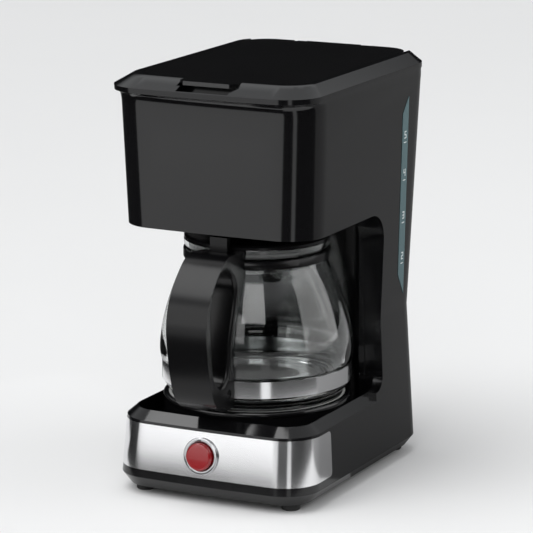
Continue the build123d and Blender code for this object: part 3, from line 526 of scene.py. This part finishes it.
@dataclass
class ControlPanel:
    """Steel fascia, chrome ring and red push button."""

    ring_edge: float = 0.0009
    cap_edge: float = 0.0004

    def build(self, shop: Workshop) -> None:
        """Dresses the fascia and the switch."""
        shop.dress("front_panel", Finish.STEEL)
        shop.dress("switch_bezel", Finish.RING, self.ring_edge)
        shop.dress("power_button", Finish.RED, self.cap_edge)
        shop.dress("switch_body", Finish.CERAMIC)
        shop.dress("button_spring", Finish.CHROME)


@dataclass
class HotPlate:
    """Warming plate, its collar and seal, and the heater under it."""

    collar_edge: float = 0.0004

    def build(self, shop: Workshop) -> None:
        """Dresses the plate and the heater."""
        shop.dress("plate_collar", Finish.GLOSS, self.collar_edge)
        shop.dress("plate_seal", Finish.SILICONE)
        shop.dress("warming_plate", Finish.PLATE)
        shop.dress("heater_element", Finish.ALU)
        shop.dress("heater_bracket", Finish.STEEL)
        shop.dress("thermostat", Finish.ALU)
        shop.dress("thermal_fuse", Finish.CERAMIC)
        shop.dress("terminal_block", Finish.CERAMIC)
        shop.dress("wiring", Finish.WIRE)


@dataclass
class WaterSide:
    """Tank, strainer, hoses, check valve, riser and level window."""

    def build(self, shop: Workshop) -> None:
        """Dresses the water path."""
        shop.dress("water_tank", Finish.TANK)
        shop.dress("tank_strainer", Finish.SILICONE)
        shop.dress("inlet_hose", Finish.HOSE)
        shop.dress("check_valve", Finish.CERAMIC)
        shop.dress("riser_hose", Finish.HOSE)
        shop.dress("riser_tube", Finish.HOSE)
        shop.dress("hose_clamps", Finish.CHROME)
        shop.dress("gauge_window", Finish.WINDOW)
        shop.dress("gauge_marks", Finish.PRINT)


@dataclass
class BrewHead:
    """Deck, chamber, basket, filter and drip valve."""

    def build(self, shop: Workshop) -> None:
        """Dresses the brew head."""
        shop.dress("head_deck", Finish.SATIN)
        shop.dress("brew_chamber", Finish.SATIN)
        shop.dress("drip_shield", Finish.SATIN)
        shop.dress("brew_basket", Finish.SATIN)
        shop.dress("filter_mesh", Finish.MESH)
        shop.dress("filter_frame", Finish.SATIN)
        shop.dress("drip_valve", Finish.SILICONE)
        shop.dress("valve_spring", Finish.CHROME)
        shop.dress("valve_cage", Finish.SATIN)


@dataclass
class TopLid:
    """Hinged lid with its liner and shower head."""

    def build(self, shop: Workshop) -> None:
        """Dresses the lid."""
        shop.dress("tank_lid", Finish.LID)
        shop.dress("lid_liner", Finish.SATIN)
        shop.dress("shower_head", Finish.SATIN)


@dataclass
class Jug:
    """Glass jug with steel band, collar, handle and hinged lid."""

    collar_edge: float = 0.0003

    def build(self, shop: Workshop) -> None:
        """Dresses the jug."""
        shop.dress("jug_glass", Finish.CLEAR)
        shop.dress("jug_band", Finish.STEEL)
        shop.dress("jug_collar", Finish.HANDLE, self.collar_edge)
        shop.dress("jug_handle", Finish.HANDLE)
        shop.dress("handle_screw", Finish.CHROME)
        shop.dress("jug_lid", Finish.HANDLE)
        shop.dress("jug_lid_pin", Finish.CHROME)


def link(name: str, data: Any) -> bpy.types.Object:
    """Adds an object to the scene.

    Args:
        name: its name.
        data: its mesh, light or camera.

    Returns:
        The object.
    """
    obj = bpy.data.objects.new(name, data)
    bpy.context.scene.collection.objects.link(obj)
    return obj


def aim(obj: bpy.types.Object, back: Vector) -> None:
    """Turns a light or camera so that its back faces along a direction."""
    obj.rotation_euler = back.to_track_quat("Z", "Y").to_euler()


def around(azimuth: float, distance: float, height: float) -> Colour:
    """A place at an azimuth in radians, 0 in front and positive to the right."""
    return (distance * math.sin(azimuth), -distance * math.cos(azimuth), height)


def sheet(name: str, corners: Iterable[Sequence[float]], grey: float, rough: float) -> bpy.types.Object:
    """A flat stage sheet with a lightly mottled surface.

    Args:
        name: its name.
        corners: its corners in order.
        grey: grey level, linear.
        rough: roughness.

    Returns:
        The sheet.
    """
    mesh = bpy.data.meshes.new(name)
    points = [tuple(corner) for corner in corners]
    mesh.from_pydata(points, [], [tuple(range(len(points)))])
    obj = link(name, mesh)
    shader = Shader(name)
    speck = shader.noise(even(3), detail=3.0, rough=0.5)
    mottled = shader.mix(speck, even(grey * 0.985), even(min(1.0, grey * 1.01)))
    shader.set(Base_Color=mottled, Roughness=rough, Specular_IOR_Level=0.2)
    mesh.materials.append(shader.material)
    return obj


@dataclass(frozen=True)
class Softbox:
    """A rectangular softbox facing the object, placed by its azimuth in degrees."""

    name: str
    azimuth: float
    distance: float
    height: float
    size: tuple[float, float]
    radiance: float

    def build(self) -> None:
        """Hangs the softbox."""
        light = bpy.data.lights.new(self.name, "AREA")
        light.shape = "RECTANGLE"
        light.size, light.size_y = self.size
        light.energy = self.radiance * self.size[0] * self.size[1] * math.pi
        obj = link(self.name, light)
        obj.location = around(math.radians(self.azimuth), self.distance, self.height)
        aim(obj, Vector(obj.location) - Vector((0, 0, self.height)))


@dataclass(frozen=True)
class Card:
    """A card lying on the floor that only gloss sees, for dark bands round the corners."""

    LIFT: ClassVar[float] = 0.001
    STEPS: ClassVar[int] = 12
    ROUGH: ClassVar[float] = 0.9

    name: str
    start: float
    stop: float
    near: float
    far: float
    grey: float

    def build(self) -> None:
        """Lays the card, as part of a ring between two azimuths in degrees."""
        spread = self.stop - self.start
        turns = [math.radians(self.start + spread * step / self.STEPS) for step in range(self.STEPS + 1)]
        corners = [around(turn, self.near, self.LIFT) for turn in turns]
        corners += [around(turn, self.far, self.LIFT) for turn in reversed(turns)]
        card = sheet(self.name, corners, self.grey, self.ROUGH)
        card.visible_camera = False
        card.visible_diffuse = False
        card.visible_shadow = False
        card.visible_transmission = False


@dataclass
class Studio:
    """Pale floor, soft light and the camera."""

    azimuth: float = 26.4
    elevation: float = 12.65
    distance: float = 2.0314
    target: Colour = (-0.0097, 0.022975, 0.1324)
    lens: float = 209.4
    sensor: float = 36.0
    far_clip: float = 60.0
    floor_half: float = 9.0
    floor_grey: float = 0.74
    floor_rough: float = 0.7
    key_strength: float = 1.95
    key_spread: float = 50.0
    key_from: Colour = (-0.25, -0.35, 1.0)
    backdrop: Colour = (0.8, 0.81, 0.82)
    horizon: tuple[float, Colour] = (0.34, (0.009, 0.009, 0.0095))
    overhead: tuple[float, Colour] = (0.52, (0.6, 0.61, 0.62))
    softboxes: tuple[Softbox, ...] = (
        Softbox("front_left_box", -28.0, 1.9, 0.62, (1.1, 1.2), 1.9),
        Softbox("right_box", 112.0, 1.7, 0.75, (1.7, 1.5), 1.6),
        Softbox("camera_box", 22.0, 2.3, 1.55, (1.25, 1.3), 2.6),
        Softbox("low_front_box", -3.0, 2.4, 0.75, (1.2, 0.62), 1.6),
    )
    cards: tuple[Card, ...] = (
        Card("flag_corner", 4.0, 30.0, 0.3, 3.5, 0.004),
        Card("flag_side", 40.0, 95.0, 0.3, 3.5, 0.004),
        Card("flag_left", -130.0, -50.0, 0.3, 3.5, 0.004),
        Card("flag_right", 95.0, 235.0, 0.03, 6.0, 0.2),
        Card("flag_near", -75.0, 4.0, 0.2, 0.43, 0.004),
    )

    def build(self) -> None:
        """Sets the studio up."""
        self.camera()
        self.floor()
        for card in self.cards:
            card.build()
        self.dome()
        self.key()
        for softbox in self.softboxes:
            softbox.build()
        bpy.context.scene.view_settings.view_transform = "Standard"

    def camera(self) -> None:
        """Long-lens camera from the front right."""
        data = bpy.data.cameras.new("camera")
        data.lens = self.lens
        data.sensor_width = self.sensor
        data.clip_end = self.far_clip
        obj = link("camera", data)
        turn, rise = math.radians(self.azimuth), math.radians(self.elevation)
        back = Vector(around(turn, math.cos(rise), math.sin(rise)))
        obj.location = Vector(self.target) + back * self.distance
        aim(obj, back)
        bpy.context.scene.camera = obj

    def floor(self) -> None:
        """Pale floor under everything."""
        half = self.floor_half
        corners = [(-half, -half, 0), (half, -half, 0), (half, half, 0), (-half, half, 0)]
        sheet("floor", corners, self.floor_grey, self.floor_rough)

    def dome(self) -> None:
        """Pale to the eye; to gloss and light, soft from above and dim near the horizon."""
        world = bpy.data.worlds.new("studio")
        bpy.context.scene.world = world
        world.use_nodes = True
        graph = Graph(world.node_tree)
        direction = graph.add("ShaderNodeTexCoord", output="Generated")
        rise = graph.add("ShaderNodeSeparateXYZ", {}, {0: direction}, "Z")
        stops = {"stops": (self.horizon, self.overhead)}
        glow = graph.add("ShaderNodeValToRGB", stops, {"Fac": rise}, "Color")
        seen = graph.add("ShaderNodeLightPath", output="Is Camera Ray")
        sky = graph.add("ShaderNodeBackground", {}, {"Color": graph.mix(seen, glow, self.backdrop)})
        graph.node("ShaderNodeOutputWorld", {}, {"Surface": sky})

    def key(self) -> None:
        """Broad key light from the front left, overhead."""
        light = bpy.data.lights.new("key", "SUN")
        light.energy = self.key_strength
        light.angle = math.radians(self.key_spread)
        aim(link("key", light), Vector(self.key_from))


def main() -> None:
    """Dresses every sub-assembly in order, then builds the studio."""
    logging.basicConfig(level=logging.INFO, format="%(name)s: %(message)s")
    shop = Workshop()
    for assembly in (Housing(), ControlPanel(), HotPlate(), WaterSide(), BrewHead(), TopLid(), Jug()):
        assembly.build(shop)
    Studio().build()


if __name__ == "__main__":
    main()
